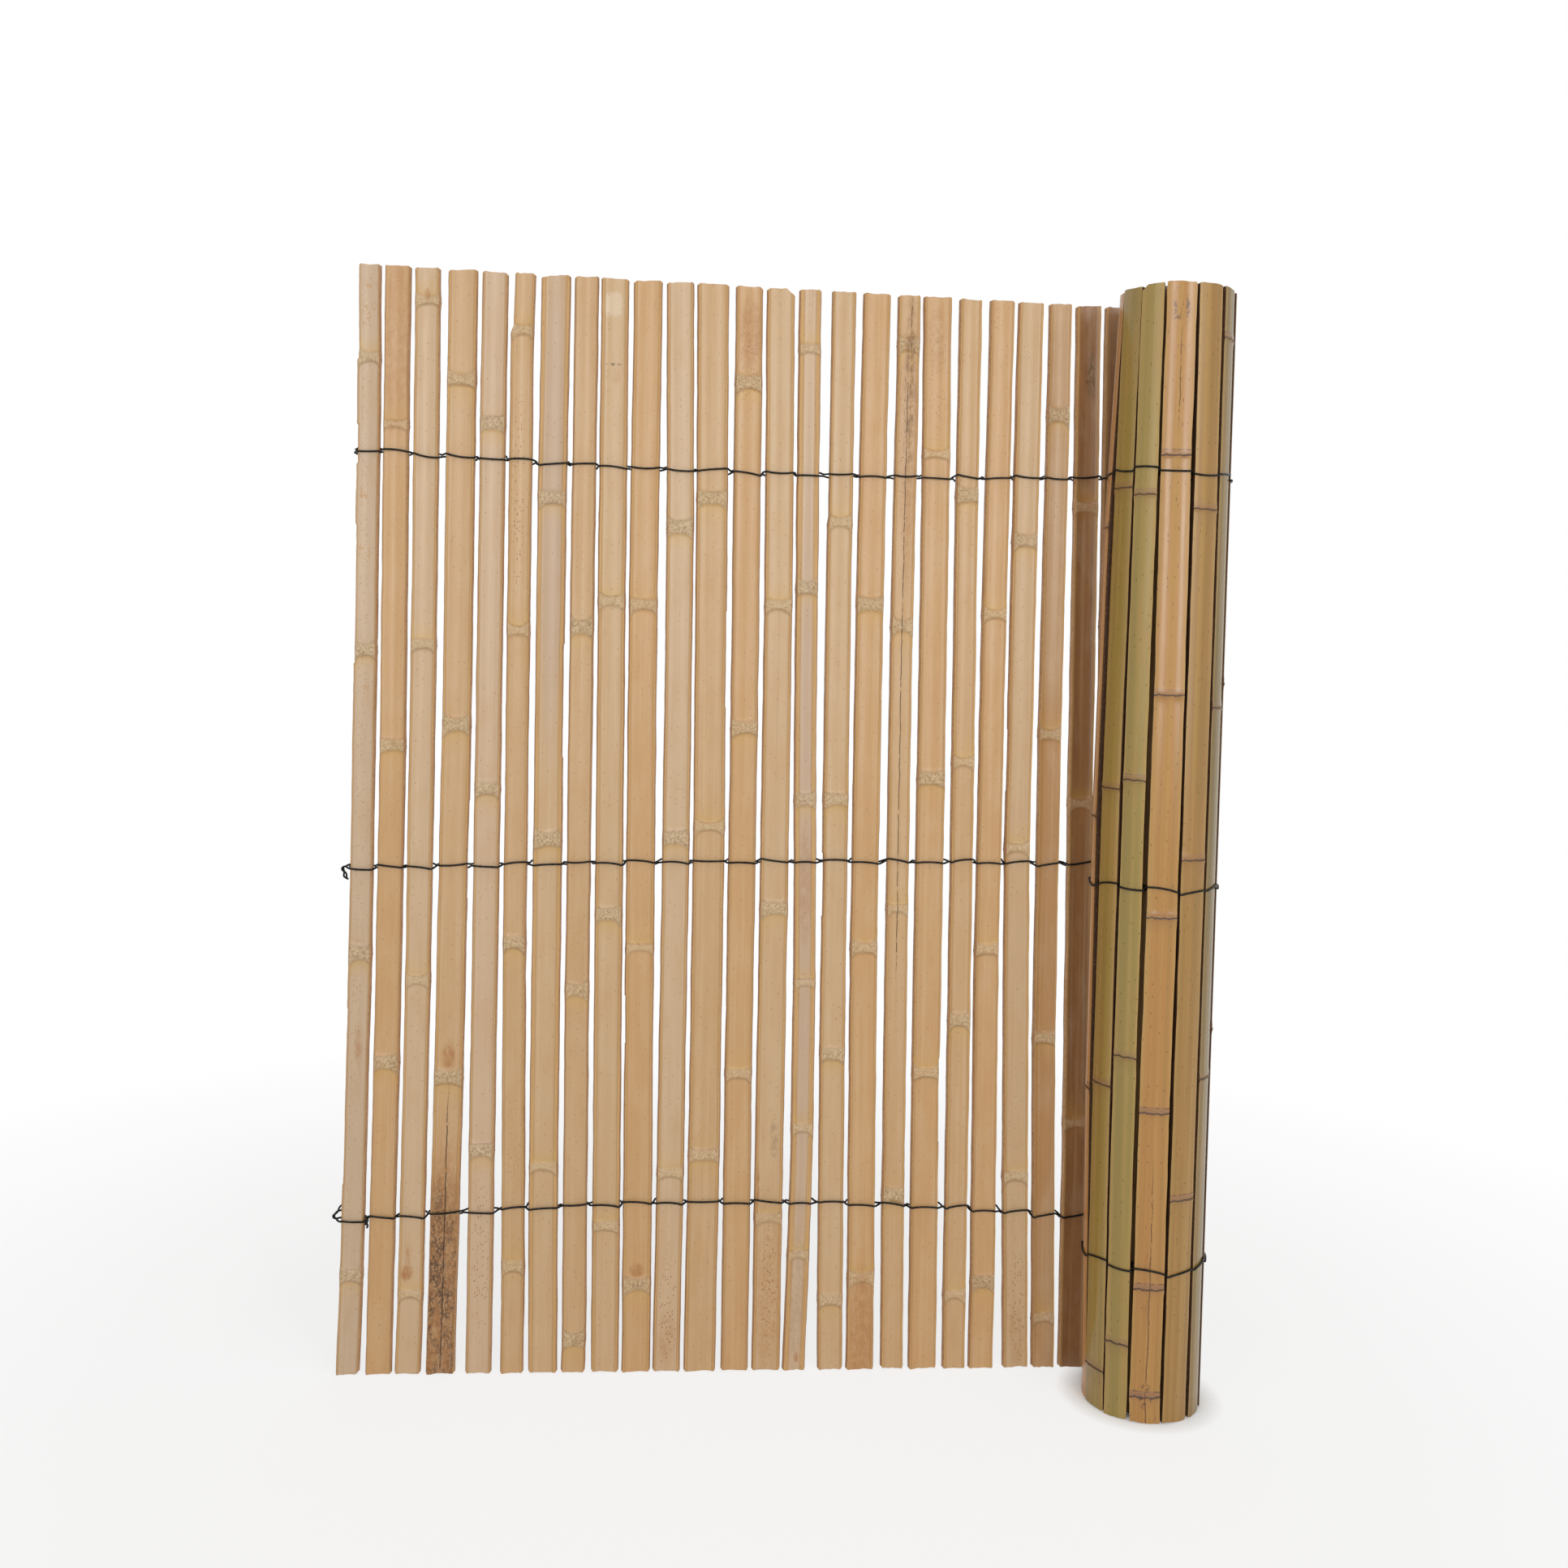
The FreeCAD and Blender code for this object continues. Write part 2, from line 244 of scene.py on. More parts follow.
# Marks on the skins of the rolled slats, in the same way; across is plus to the left.
SKIN_MARKS = {
    "stain": [(8, 0.12, 0.1, 40, 0.4, 0.4), (10, 0.35, 0.3, 120, 0.6, 0.3)],
    "fleck": [(7, 0.50, 0.3, 480, 0.5, 0.35), (8, 0.84, 0.0, 140, 0.8, 1.0)],
    "smudge": [
        (8, 0.975, 0.3, 16, 0.3, 0.8), (8, 0.975, -0.4, 12, 0.2, 0.8), (8, 0.024, 0.0, 12, 0.5, 0.9),
    ],
}
# Marks lower than this, in mm, get mesh rows of their own: how many, and their reach.
SMALL_MARK = 15
MARK_ROWS = 9
MARK_ROWS_REACH = 1.2

# Lengthwise cracks: slat node, place across, lowest and highest share of the length. They start
# and fade over these shares, and where there is none the place is off the slat.
CRACK_START = 0.03
CRACK_FADE = 0.05
NO_CRACK = 3.0
CRACKS = [
    ("flat_slat_04", 0.02, -0.05, 0.27), ("flat_slat_18", 0.25, 0.93, 1.05),
    ("flat_slat_18", -0.02, 0.36, 0.95), ("rolled_slat_08", -0.05, -0.05, 0.24),
    ("rolled_slat_08", -0.05, 0.86, 0.98),
]

# Slats narrower at the left above a node: slat node, share of the length, step in mm.
NARROWER_ABOVE = {"flat_slat_06": (0.948, 2.4), "flat_slat_16": (0.786, 1.2)}
# Broken head corners: slat node, side and depth in mm.
BROKEN_HEADS = {"flat_slat_14": (1, 5.0), "rolled_slat_09": (1, 4.0), "flat_slat_07": (-1, 1.6)}

# Chipped edges of flat slats: number, side, lowest and highest share of the length, depth in mm.
CHIPS = [
    (1, -1, 0.914, 1.010, 1.2), (1, -1, 0.820, 0.857, 1.2),
    (1, -1, 0.640, 0.767, 0.9), (1, -1, 0.170, 0.330, 0.6),
    (7, 1, 0.560, 0.665, 0.8), (4, 1, 0.430, 0.520, 0.6),
    (10, -1, 0.300, 0.345, 0.7), (12, 1, 0.610, 0.700, 0.6),
    (16, -1, 0.420, 0.480, 0.8), (19, 1, 0.210, 0.290, 0.7),
    (22, -1, 0.540, 0.600, 0.6), (25, -1, 0.280, 0.350, 0.8),
]
CHIP_END = 1.5 * MM
NARROWS_BELOW = 4 * MM
NARROWS_ABOVE = 6 * MM

# Crooked slats: shares of the length, and the swing sideways there, in mm.
SWINGS = {
    "flat_slat_15": [(0.0, -1.5), (0.09, 1.2), (0.2, 3.4), (0.36, 3.8), (0.62, 1.0), (1.0, 0.0)],
    "flat_slat_25": [(0.0, 0.0), (0.395, -1.0), (0.7, -3.0), (1.0, -4.0)],
    "rolled_slat_09": [(0.0, 0.3), (0.066, 0.8), (0.318, 2.2), (0.562, 2.2), (0.814, 0.8), (1.0, 0.0)],
    "rolled_slat_10": [(0.0, 0.2), (0.036, 0.4), (0.289, 1.4), (0.553, 1.6), (0.827, 0.6), (1.0, 0.0)],
}
# Flat slats in an arch: number and how far to the right at mid-height, in mm.
ARCHES = {
    1: 3.0, 2: 3.5, 3: 3.5, 4: 2.5, 6: -2.0, 7: -1.5, 10: -1.5,
    11: 2.5, 12: 2.5, 14: 2.0, 16: -1.0, 17: -3.0, 18: -2.0,
    20: -1.0, 21: -3.0, 22: -5.0, 23: -4.5,
}
# Slats that bow out of the roll: shares of the length, and how far, in mm.
BOWS = {
    "rolled_slat_10": [(0.0, 0.0), (0.289, 2.5), (0.553, 3.0), (0.827, 1.0), (1.0, -2.0)],
    "rolled_slat_11": [(0.0, 0.0), (0.280, 6.0), (0.526, 8.0), (0.787, 6.0), (1.0, -1.5)],
}


class Slat:
    """A slat's line, section and nodes, read from its solid."""

    def __init__(self, node, number):
        self.node = node
        self.number = number
        self.flat = node.startswith("flat")
        self.shown = self.flat or number <= LAST_SHOWN_ROLLED
        points = node_points(node)
        foot = points[points[:, 2] < points[:, 2].min() + END_SLICE]
        head = points[points[:, 2] > points[:, 2].max() - END_SLICE]
        foot_chord, self.outward, self.width, self.edge_depth = read_section(foot)
        head_chord = read_section(head)[0]
        self.foot = foot_chord + self.outward * self.edge_depth
        rise = head_chord - foot_chord
        self.length = np.linalg.norm(rise)
        self.up = rise / self.length
        self.along = np.cross(self.outward, self.up)
        self.half_angle = 2 * math.atan(2 * self.edge_depth / self.width)
        self.radius = self.width / 2 / math.sin(self.half_angle)
        local = points - (self.foot - self.outward * self.radius)
        heights = local @ self.up
        radii = np.linalg.norm(local - np.outer(heights, self.up), axis=1)
        self.bore = radii[heights < END_SLICE].min()
        self.nodes = merge_close(heights[radii > self.radius + RIDGE_LEAST])
        self.rng = np.random.default_rng(SEED + number + (0 if self.flat else ROLLED_SEED))
        self.kinks = self.choose_kinks()
        shares, bows = zip(*BOWS.get(node, [(0.0, 0.0), (1.0, 0.0)]))
        self.bow = np.array(shares) * self.length, np.array(bows) * MM

    def choose_kinks(self):
        """Sideways strays of the middle line: small turns at the nodes."""
        if self.node in SWINGS:
            shares, swings = zip(*SWINGS[self.node])
            return np.array(shares) * self.length, np.array(swings) * MM
        knots = np.array([0.0, *self.nodes, self.length])
        strays = self.rng.uniform(-KINK_AT_NODE, KINK_AT_NODE, len(knots))
        if self.flat:
            strays += ARCHES.get(self.number, 0.0) * MM * np.sin(math.pi * knots / self.length)
        return knots, strays

    def axis_point(self, height):
        """Middle of the skin at a height."""
        stray = np.multiply.outer(np.interp(height, *self.kinks), self.along)
        stray += np.multiply.outer(np.interp(height, *self.bow), self.outward)
        return self.foot + np.multiply.outer(height, self.up) + stray

    @property
    def depth(self):
        return self.radius - self.bore * math.cos(self.half_angle)

    @property
    def inner_half_width(self):
        return self.bore * math.sin(self.half_angle)


def node_points(node):
    """Vertices of a solid as an array."""
    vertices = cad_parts[node].data.vertices
    points = np.empty(len(vertices) * 3)
    vertices.foreach_get("co", points)
    return points.reshape(-1, 3)


def read_section(ring):
    """Middle of a section's chord, its outward direction, width and crown."""
    apart = np.linalg.norm(ring[:, None, :2] - ring[None, :, :2], axis=2)
    first, second = np.unravel_index(apart.argmax(), apart.shape)
    chord = (ring[first] + ring[second]) / 2
    run = ring[second] - ring[first]
    across = np.array([run[1], -run[0], 0.0])
    across /= np.linalg.norm(across)
    offsets = (ring - chord) @ across
    if abs(offsets.min()) < offsets.max():
        across = -across
        offsets = -offsets
    return chord, across, np.linalg.norm(run), offsets.max()


def merge_close(values, apart=3 * MM):
    """Sorted values with near repeats taken once."""
    kept = []
    for value in sorted(values):
        if not kept or value - kept[-1] > apart:
            kept.append(float(value))
    return kept


def ramp(low, high, value):
    share = np.clip((value - low) / (high - low), 0, 1)
    return share * share * (3 - 2 * share)


def wander(rng, values, step, reach):
    """Smooth random line over increasing values, with a new level every step."""
    count = int((values[-1] - values[0]) / step) + 3
    knots = values[0] + step * np.arange(count)
    return np.interp(values, knots, rng.uniform(-reach, reach, count))


def row_heights(slat):
    """Heights of the mesh rows: close together at the nodes and at the ends."""
    step = SHOWN_ROW_STEP if slat.shown else HIDDEN_ROW_STEP
    rows = list(np.arange(step, slat.length - step / 2, step))
    if slat.shown:
        for node in slat.nodes:
            rows = [row for row in rows if abs(row - node) > NODE_REACH]
            rows += list(node + np.arange(-NODE_REACH, NODE_REACH, NODE_ROW_STEP))
        rows += extra_rows(slat)
    rows = [row for row in rows if FREE_OF_ROWS < row < slat.length - FREE_OF_ROWS]
    return np.array([0.0, END_ROW, *sorted(rows), slat.length - END_ROW, slat.length])


def extra_rows(slat):
    """Heights that small marks and the ends of chips need."""
    rows = []
    marks = INNER_MARKS if slat.flat else SKIN_MARKS
    reach = np.linspace(-MARK_ROWS_REACH, MARK_ROWS_REACH, MARK_ROWS)
    for number, share, _, half_height, _, _ in sum(marks.values(), []):
        if number == slat.number and half_height <= SMALL_MARK:
            rows += list(share * slat.length + reach * half_height * MM)
    for number, _, low, high, _ in CHIPS:
        if slat.flat and number == slat.number:
            rows += [low * slat.length, low * slat.length + CHIP_END]
            rows += [high * slat.length - CHIP_END, high * slat.length]
    return rows


def nearest_node(slat, heights):
    """For each height: distance from the nearest node, its random number and which it is."""
    if not slat.nodes:
        return np.full(len(heights), 1.0), np.zeros(len(heights)), np.zeros(len(heights), int)
    away = heights[:, None] - np.array(slat.nodes)[None, :]
    which = np.abs(away).argmin(axis=1)
    variety = slat.rng.uniform(0, 1, len(slat.nodes))
    return away[np.arange(len(heights)), which], variety[which], which


def node_on_inner_face(slat, away, variety, which, across):
    """Masks of a node: rough band, torn lip, painted shade under the band and yellow tint; and its relief.
    """
    choice = slat.rng.uniform(0, 1, (4, max(len(slat.nodes), 1)))
    round_low, round_high, tilt, strong = (row[which][:, None] for row in choice)
    bend = BAND_ROUNDING * np.abs(across)[None, :] ** 2.5
    half = (BAND_HALF * (0.6 + 0.7 * variety))[:, None]
    ragged = slat.rng.uniform(-BAND_RAGGED, BAND_RAGGED, (len(away), len(across)))
    lean = BAND_TILT * (2 * tilt - 1) * across[None, :]
    low = -half - (0.35 + 0.85 * round_low) * bend + lean
    high = half + (0.1 + 0.9 * round_high) * bend - 0.5 * lean
    x = away[:, None] + ragged
    near = ramp(25 * MM, 16 * MM, np.abs(x))
    band = ramp(low - BAND_SOFT, low + BAND_SOFT, x)
    band = band * (1 - ramp(high - 1.5 * MM, high + BAND_SOFT, x))
    lip = np.exp(-((x - high) / LIP_WIDTH) ** 2) * near * (0.35 + 0.65 * strong)
    shade_arch = np.exp(-((x - low) / SHADE_ARCH_WIDTH) ** 2) * near * (1.0 - 0.6 * strong)
    above = np.where(x > high, np.exp(-(x - high) / TINT_ABOVE), 0)
    above = above * ramp(0.6, 0.4, variety)[:, None]
    below = np.where(x < low, np.exp(-(low - x) / TINT_BELOW), 0)
    below = below * ramp(0.4, 0.6, variety)[:, None]
    tint = np.maximum(above, below) * ramp(30 * MM, 18 * MM, np.abs(x))
    relief = np.exp(-(away[:, None] / (1.15 * half + 0.5 * bend)) ** 4)
    return {"band": band, "lip": lip, "shade_arch": shade_arch, "tint": tint}, relief


def node_on_skin(away):
    """Swelling of the skin at a node: a low ridge with a lip and a groove."""
    x = away / MM
    return MM * sum(height * np.exp(-((x - place) / half) ** 2) for height, place, half in SKIN_NODE)


def paint_marks(slat, marks, kind, heights, across):
    """Mask of one kind of mark over one face of a slat."""
    mask = np.zeros((len(heights), len(across)))
    for number, share, place, half_height, half_width, strength in marks.get(kind, ()):
        if number != slat.number:
            continue
        up = (heights - share * slat.length)[:, None] / (half_height * MM)
        side = (across - place)[None, :] / half_width
        if kind == "pale":
            reach = (up ** 4 + side ** 4) ** 0.25
            mask = np.maximum(mask, strength * (1 - ramp(0.8, 1.0, reach)))
        else:
            mask = np.maximum(mask, strength * (1 - ramp(0.55, 1.15, np.hypot(up, side))))
    return mask


def edge_wave(slat, heights, away, side):
    """How far one cut edge strays outwards at each height."""
    line = wander(slat.rng, heights, EDGE_WAVE_STEP, EDGE_WAVE)
    line += wander(slat.rng, heights, SPLINTER_STEP, EDGE_SPLINTER)
    line += NODE_SWELL * np.exp(-(away / NODE_SWELL_REACH) ** 2)
    if side < 0 and slat.node in NARROWER_ABOVE:
        share, step = NARROWER_ABOVE[slat.node]
        node_at = share * slat.length
        line -= step * MM * ramp(node_at - NARROWS_BELOW, node_at + NARROWS_ABOVE, heights)
    for number, chipped, low, high, depth in CHIPS:
        if slat.flat and number == slat.number and chipped == side:
            start = ramp(low * slat.length, low * slat.length + CHIP_END, heights)
            stop = ramp(high * slat.length - CHIP_END, high * slat.length, heights)
            line -= depth * MM * start * (1 - stop)
    return line


def saw_ends(slat, lifted, ring_across):
    """Makes the foot and head uneven: a saw's slope, worn corners and a broken corner."""
    rng = slat.rng
    for row, towards, end in ((0, 1, "foot"), (len(lifted) - 1, -1, "head")):
        knots = rng.uniform(0, 0.6, END_KNOTS) * END_RAGGED
        loss = np.interp(ring_across, np.linspace(-1, 1, END_KNOTS), knots)
        loss += np.abs(rng.uniform(-1, 1) * END_RAGGED * (1 + rng.choice((-1, 1)) * ring_across) / 2)
        wear = rng.uniform(0, CORNER_WEAR, 2)
        loss += wear[0] * ramp(WORN_FROM, 1.0, -ring_across)
        loss += wear[1] * ramp(WORN_FROM, 1.0, ring_across)
        if end == "head" and slat.node in BROKEN_HEADS:
            side, depth = BROKEN_HEADS[slat.node]
            loss += depth * MM * ramp(0.35, 0.9, side * ring_across)
        lifted[row] += towards * loss
        for step in range(1, END_ROWS_MOVED + 1):
            inner = row + towards * step
            limit = lifted[inner - towards] + towards * END_ROWS_APART
            further = np.maximum if towards > 0 else np.minimum
            lifted[inner] = further(lifted[inner], limit)


def slat_piece(slat, inner_tone, skin_tone, hollow, materials):
    """One slat: skin, cut edges, inner face and sawn ends."""
    columns = SHOWN_COLUMNS if slat.shown else HIDDEN_COLUMNS
    across = np.linspace(-1, 1, columns + 1)
    heights = row_heights(slat)
    away, variety, which = nearest_node(slat, heights)
    rows = len(heights)
    wave = [edge_wave(slat, heights, away, side) for side in (-1, 1)]
    reach_left = ramp(0.5, 1.0, -across)[None, :]
    reach_right = ramp(0.5, 1.0, across)[None, :]
    spread = (wave[1][:, None] * reach_right - wave[0][:, None] * reach_left) / slat.radius
    angles = across[None, :] * slat.half_angle + spread

    masks, relief = node_on_inner_face(slat, away, variety, which, across)
    shoulder = ramp(hollow - 0.06, hollow + 0.05, np.abs(across))[None, :]
    skin_radius = slat.radius + node_on_skin(away)[:, None] + 0 * angles
    roughness = slat.rng.uniform(-BAND_ROUGHNESS, BAND_ROUGHNESS, relief.shape)
    inner_radius = slat.bore - STUB_RISE * relief - SHOULDER_RISE * shoulder * (1 - relief)
    inner_radius += roughness * masks["band"]

    wall = slat.radius - slat.bore
    edge_shares = np.array([BEVEL, 0.35 * wall, 0.7 * wall]) / wall
    right_edge = skin_radius[:, -1:] + (inner_radius[:, -1:] - skin_radius[:, -1:]) * edge_shares
    left_edge = inner_radius[:, :1] + (skin_radius[:, :1] - inner_radius[:, :1]) * (1 - edge_shares[::-1])
    edge_count = len(edge_shares)
    radii = np.hstack([skin_radius, right_edge, inner_radius[:, ::-1], left_edge])
    edge_ones = np.ones((1, edge_count))
    right, left = angles[:, -1:] * edge_ones, angles[:, :1] * edge_ones
    ring_angles = np.hstack([angles, right, angles[:, ::-1], left])
    ring_across = np.hstack([across, edge_ones[0], across[::-1], -edge_ones[0]])
    ring_size = radii.shape[1]

    lifted = heights[:, None] + 0 * radii
    saw_ends(slat, lifted, ring_across)
    out = radii * np.cos(ring_angles) - slat.radius
    side = radii * np.sin(ring_angles)
    points = slat.axis_point(lifted) + out[..., None] * slat.outward + side[..., None] * slat.along

    masks["shoulder"] = shoulder + 0 * relief
    edge_zeros = np.zeros((rows, edge_count))
    values = {}
    for name, mask in masks.items():
        values[name] = np.hstack([0 * mask, edge_zeros, mask[:, ::-1], edge_zeros])
    for kind in INNER_MARKS:
        inside = paint_marks(slat, INNER_MARKS if slat.flat else {}, kind, heights, across)
        skin = paint_marks(slat, {} if slat.flat else SKIN_MARKS, kind, heights, across)
        values[kind] = np.hstack([skin, edge_zeros, inside[:, ::-1], edge_zeros])
    near = ramp(NEAR_NODE_END, NEAR_NODE, np.abs(away))
    crack, crack_at = crack_values(slat, heights)
    by_row = {
        "node": np.clip(away, -0.1, 0.1), "near": near, "variety": variety,
        "crack": crack, "crack_at": crack_at,
    }
    for name, value in by_row.items():
        values[name] = np.repeat(value[:, None], ring_size, axis=1)
    values["across"] = np.repeat(ring_across[None, :], rows, axis=0)
    values["inward"] = (slat.radius - radii) / wall
    own_place = slat.number * GRAIN_STEP + (0 if slat.flat else ROLLED_GRAIN)
    grain = np.stack([side, np.full_like(side, own_place), lifted], axis=2)

    mesh = slat_mesh(slat.node + "_piece", points, *tube_faces(rows, columns, edge_count))
    for name, value in values.items():
        store(mesh, name, "FLOAT", "value", value)
    store(mesh, "grain", "FLOAT_VECTOR", "vector", grain)
    # Rolled slats get near-black split sides: painted shade in the gaps of the roll.
    edge_tone_and_gap_shade = FLAT_EDGE if slat.flat else ROLLED_EDGE_SHADE
    for name, colour in (("inner_tone", inner_tone), ("skin_tone", skin_tone), ("edge_tone_and_gap_shade", edge_tone_and_gap_shade)):
        store(mesh, name, "FLOAT_COLOR", "color", np.tile(colour, rows * ring_size))
    for material in materials:
        mesh.materials.append(material)
    return add_object(slat.node + "_piece", mesh)


def slat_mesh(name, points, faces, slots):
    """Smooth mesh with sharp corners and a material slot for each face."""
    mesh = bpy.data.meshes.new(name)
    mesh.from_pydata(points.reshape(-1, 3).tolist(), [], faces)
    mesh.polygons.foreach_set("material_index", slots)
    mesh.polygons.foreach_set("use_smooth", [True] * len(faces))
    mesh.set_sharp_from_angle(angle=SHARP_ANGLE)
    return mesh


def store(mesh, name, kind, field, values):
    """Keeps values on the points of a mesh for its materials."""
    attribute = mesh.attributes.new(name, kind, "POINT")
    attribute.data.foreach_set(field, values.astype(np.float32).ravel())


def add_object(name, data):
    """New object in the scene."""
    added = bpy.data.objects.new(name, data)
    bpy.context.scene.collection.objects.link(added)
    return added


def crack_values(slat, heights):
    """Strength of a lengthwise crack at each height and its place across."""
    strength = np.zeros(len(heights))
    place = np.full(len(heights), NO_CRACK)
    for node, across, low, high in CRACKS:
        if node != slat.node:
            continue
        share = heights / slat.length
        inside = ramp(low, low + CRACK_START, share) * (1 - ramp(high - CRACK_FADE, high, share))
        place = np.where(inside > strength, across, place)
        strength = np.maximum(strength, inside)
    return strength, place


def tube_faces(rows, columns, edge_count):
    """Faces of a closed slat and their material slots: 0 skin, 1 cut wood, 2 inner face."""
    ring_size = 2 * (columns + 1) + 2 * edge_count
    column_slots = [0] * columns + [1] * (edge_count + 1) + [2] * columns + [1] * (edge_count + 1)
    faces = []
    slots = []
    for row in range(rows - 1):
        low = row * ring_size
        high = low + ring_size
        for column, slot in enumerate(column_slots):
            beside = (column + 1) % ring_size
            faces.append((low + column, high + column, high + beside, low + beside))
            slots.append(slot)
    inner_end = 2 * columns + 1 + edge_count
    for base, flip in ((0, False), ((rows - 1) * ring_size, True)):
        for column in range(columns):
            face = [base + column, base + column + 1]
            if column == columns - 1:
                face += [base + columns + 1 + step for step in range(edge_count)]
            face += [base + inner_end - column - 1, base + inner_end - column]
            if column == 0:
                face += [base + inner_end + 1 + step for step in range(edge_count)]
            faces.append(tuple(face[::-1]) if flip else tuple(face))
            slots.append(1)
    return faces, slots


# Wire lacing


def wire_levels(node, slats):
    """Height of a strand on each slat, read from its solid."""
    points = node_points(node)
    levels = []
    for slat in slats:
        local = points - slat.foot
        near = np.abs(local @ slat.along) < slat.width / 2 + SEEK_BESIDE
        near &= np.abs(local @ slat.outward + slat.depth / 2) < slat.depth / 2 + SEEK_BEFORE
        levels.append(local[near][:, 2].mean() + slat.foot[2])
    return levels


def run_points(slat, level, in_front, rng):
    """Points of a strand across one slat: taut over the hollow, or hugging the skin."""
    middle = slat.axis_point(level - slat.foot[2])
    tilt = rng.uniform(-1, 1) * (FLAT_TILT if slat.flat else ROLL_TILT)
    bow = rng.uniform(-1, 1) * (FLAT_BOW if slat.flat else ROLL_BOW)
    points = []
    for share in np.linspace(-1, 1, RUN_STEPS):
        lift = np.array([0, 0, tilt * share + bow * (1 - share * share)])
        if in_front:
            side = share * (slat.inner_half_width + 0.4 * WIRE_RADIUS)
            out = -slat.depth - WIRE_RADIUS - RUN_CLEARANCE
        else:
            angle = share * slat.half_angle
            reach = slat.radius + WIRE_RADIUS + RUN_CLEARANCE
            side = reach * math.sin(angle)
            out = reach * math.cos(angle) - slat.radius
        points.append(middle + slat.along * side + slat.outward * out + lift)
    return points


def gap_point(slat, after, level):
    """Middle of the gap after a slat, half way through the wall."""
    corners = []
    for piece, side in ((slat, 1), (after, -1)):
        middle = piece.axis_point(level - piece.foot[2])
        across = piece.along * (side * piece.width / 2)
        corners.append(middle + across - piece.outward * piece.depth * GAP_DEPTH)
    return (corners[0] + corners[1]) / 2


def smooth_line(points, per_span=4):
    """Rounded line through points, with a few steps in each span."""
    points = np.array(points)
    padded = np.vstack([2 * points[0] - points[1], points, 2 * points[-1] - points[-2]])
    steps = np.linspace(0, 1, per_span, endpoint=False)[:, None]
    line = []
    for a, b, c, d in zip(padded, padded[1:], padded[2:], padded[3:]):
        line.append(0.5 * (2 * b + (c - a) * steps + (2 * a - 5 * b + 4 * c - d) * steps ** 2
                           + (3 * b - a - 3 * c + d) * steps ** 3))
    return np.vstack([*line, points[-1:]])


def twist_points(start, route, turns, strand):
    """One strand of a twisted pair that follows a route in mm from a start."""
    route = smooth_line(start + np.array(route) * MM, 8)
    lengths = np.concatenate([[0], np.cumsum(np.linalg.norm(np.diff(route, axis=0), axis=1))])
    places = np.linspace(0, lengths[-1], TWIST_STEPS)
    line = np.stack([np.interp(places, lengths, route[:, axis]) for axis in range(3)], axis=1)
    ahead = np.gradient(line, axis=0)
    ahead /= np.linalg.norm(ahead, axis=1)[:, None]
    side = np.cross(ahead, np.array([0.0, 1.0, 0.0]))
    side /= np.linalg.norm(side, axis=1)[:, None]
    over = np.cross(ahead, side)
    turn = TWIST_PHASES[strand] + 2 * math.pi * turns * places / lengths[-1]
    return line + TWIST_RADIUS * (np.cos(turn)[:, None] * side + np.sin(turn)[:, None] * over)


# Twisted ends at the left: line, turns and the route from the edge of the first slat, in mm to
# the right, to the back and up.
END_TWISTS = {
    "top": (1.0, [(0.6, 1.5, 0.0), (-1.4, 3.0, -0.4), (0.2, 5.5, -1.0), (3.0, 7.6, -1.2)]),
    "middle": (1.9, [
        (1.0, -5.0, 0.5), (-2.8, -4.4, 0.8), (-5.8, -3.0, -0.8), (-5.4, -1.6, -5.0), (-2.2, 0.5, -11.5),
    ]),
    "bottom": (1.6, [
        (1.0, -5.0, -0.5), (-3.2, -4.2, 0.0), (-6.2, -3.0, 1.4), (-4.0, -0.6, 5.2), (0.2, 3.6, 8.6),
    ]),
}
# Slack of the top line on the roll: slat node and how far the wire rides up there, in mm.
TOP_SLACK = {
    "rolled_slat_06": 3.0, "rolled_slat_07": 2.5, "rolled_slat_08": 2.5,
    "rolled_slat_09": 8.0, "rolled_slat_10": 6.0, "rolled_slat_11": 6.0,
}
# A short twist left hanging in the first gap of the bottom line, in the same way.
HANGING_TURNS = 1.2
HANGING_TWIST = [(0.3, -3.0, 1.0), (0.5, -4.6, -1.5), (0.5, -4.2, -4.0), (0.4, -3.6, -6.5)]


def strand_line(node, slats, line_name, strand):
    """Whole line of one strand, from its twisted end along all slats."""
    levels = wire_levels(node, slats)
    shared = np.random.default_rng(SEED + len(line_name))
    sag = shared.uniform(-LINE_SAG, LINE_SAG, len(slats))
    if line_name == "top":
        sag += [TOP_SLACK.get(slat.node, 0.0) * MM for slat in slats]
    own = np.random.default_rng(SEED + len(line_name) + ord(strand))
    in_front = strand == "a"
    points = []
    for number, slat in enumerate(slats):
        points += run_points(slat, levels[number] + sag[number], in_front, own)
        if number + 1 < len(slats):
            level = (levels[number] + levels[number + 1] + sag[number] + sag[number + 1]) / 2
            points.append(gap_point(slat, slats[number + 1], level))
        in_front = not in_front
    first = slats[0]
    turns, route = END_TWISTS[line_name]
    edge = first.axis_point(levels[0] - first.foot[2]) - first.along * first.width / 2
    twist = twist_points(edge, route, turns, strand)
    return smooth_line(np.vstack([twist[::-1], np.array(points)]))


def wire_piece(node, slats, material):
    """One strand as a round wire."""
    line_name = node.split("_")[0]
    strand = node[-1]
    lines = [strand_line(node, slats, line_name, strand)]
    if line_name == "bottom":
        level = wire_levels(node, slats[:2])
        start = gap_point(slats[0], slats[1], sum(level) / 2)
        lines.append(twist_points(start, HANGING_TWIST, HANGING_TURNS, strand))
    curve = bpy.data.curves.new(node + "_piece", "CURVE")
    curve.dimensions = "3D"
    curve.bevel_depth = WIRE_RADIUS
    curve.bevel_resolution = 2
    curve.use_fill_caps = True
    for line in lines:
        spline = curve.splines.new("POLY")
        spline.points.add(len(line) - 1)
        spline.points.foreach_set("co", np.hstack([line, np.ones((len(line), 1))]).ravel())
        spline.use_smooth = True
    curve.materials.append(material)
    return add_object(node + "_piece", curve)


# Materials


